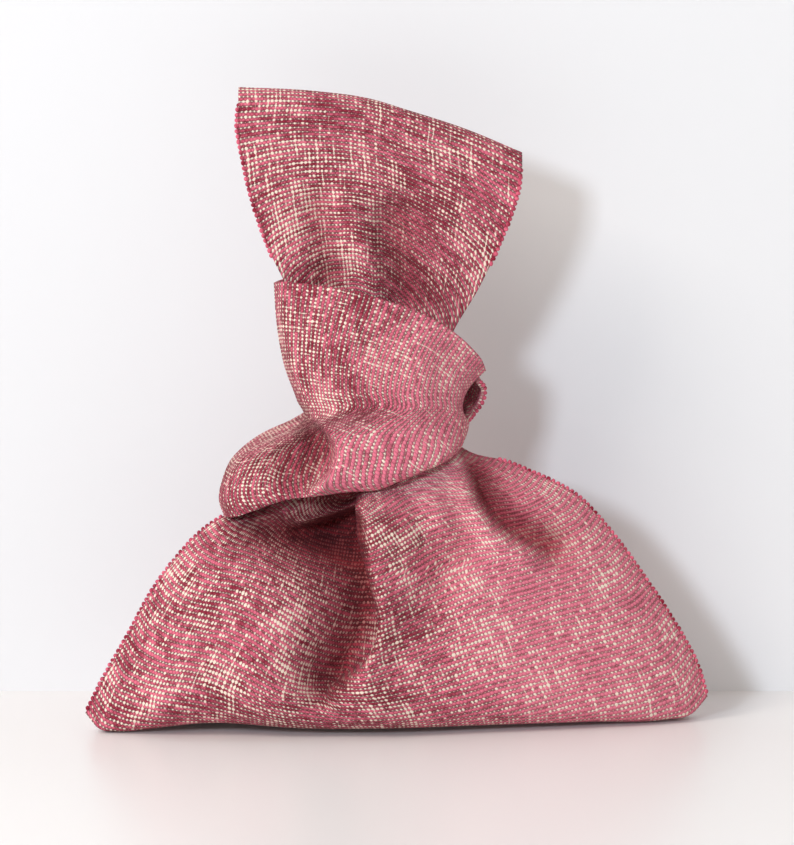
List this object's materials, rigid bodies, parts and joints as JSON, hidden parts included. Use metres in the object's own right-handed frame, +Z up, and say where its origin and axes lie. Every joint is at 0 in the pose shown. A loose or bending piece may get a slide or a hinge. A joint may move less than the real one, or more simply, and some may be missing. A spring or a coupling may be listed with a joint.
{
  "type": "fabric gift bag",
  "caption": "Knot-style cloth gift bag: a wide soft pouch, a short handle wound round its neck as a broad band, and a long handle standing up as a flat fan.",
  "frame": {"origin": "centre of the whole bag's outline on the surface that it stands on", "axes": "+Z up, -Y out of the front with the deep fold, +X to the right as the front is seen"},
  "size_m": [0.249, 0.084, 0.2545],
  "materials": {
    "pouch_cloth": "coarse two-colour weave",
    "band_cloth": "coarse two-colour weave",
    "fan_cloth": "coarse two-colour weave"
  },
  "bodies": {
    "root": {"pouch": "pouch_cloth", "short_handle": "band_cloth", "long_handle": "fan_cloth"}
  },
  "joints": []
}
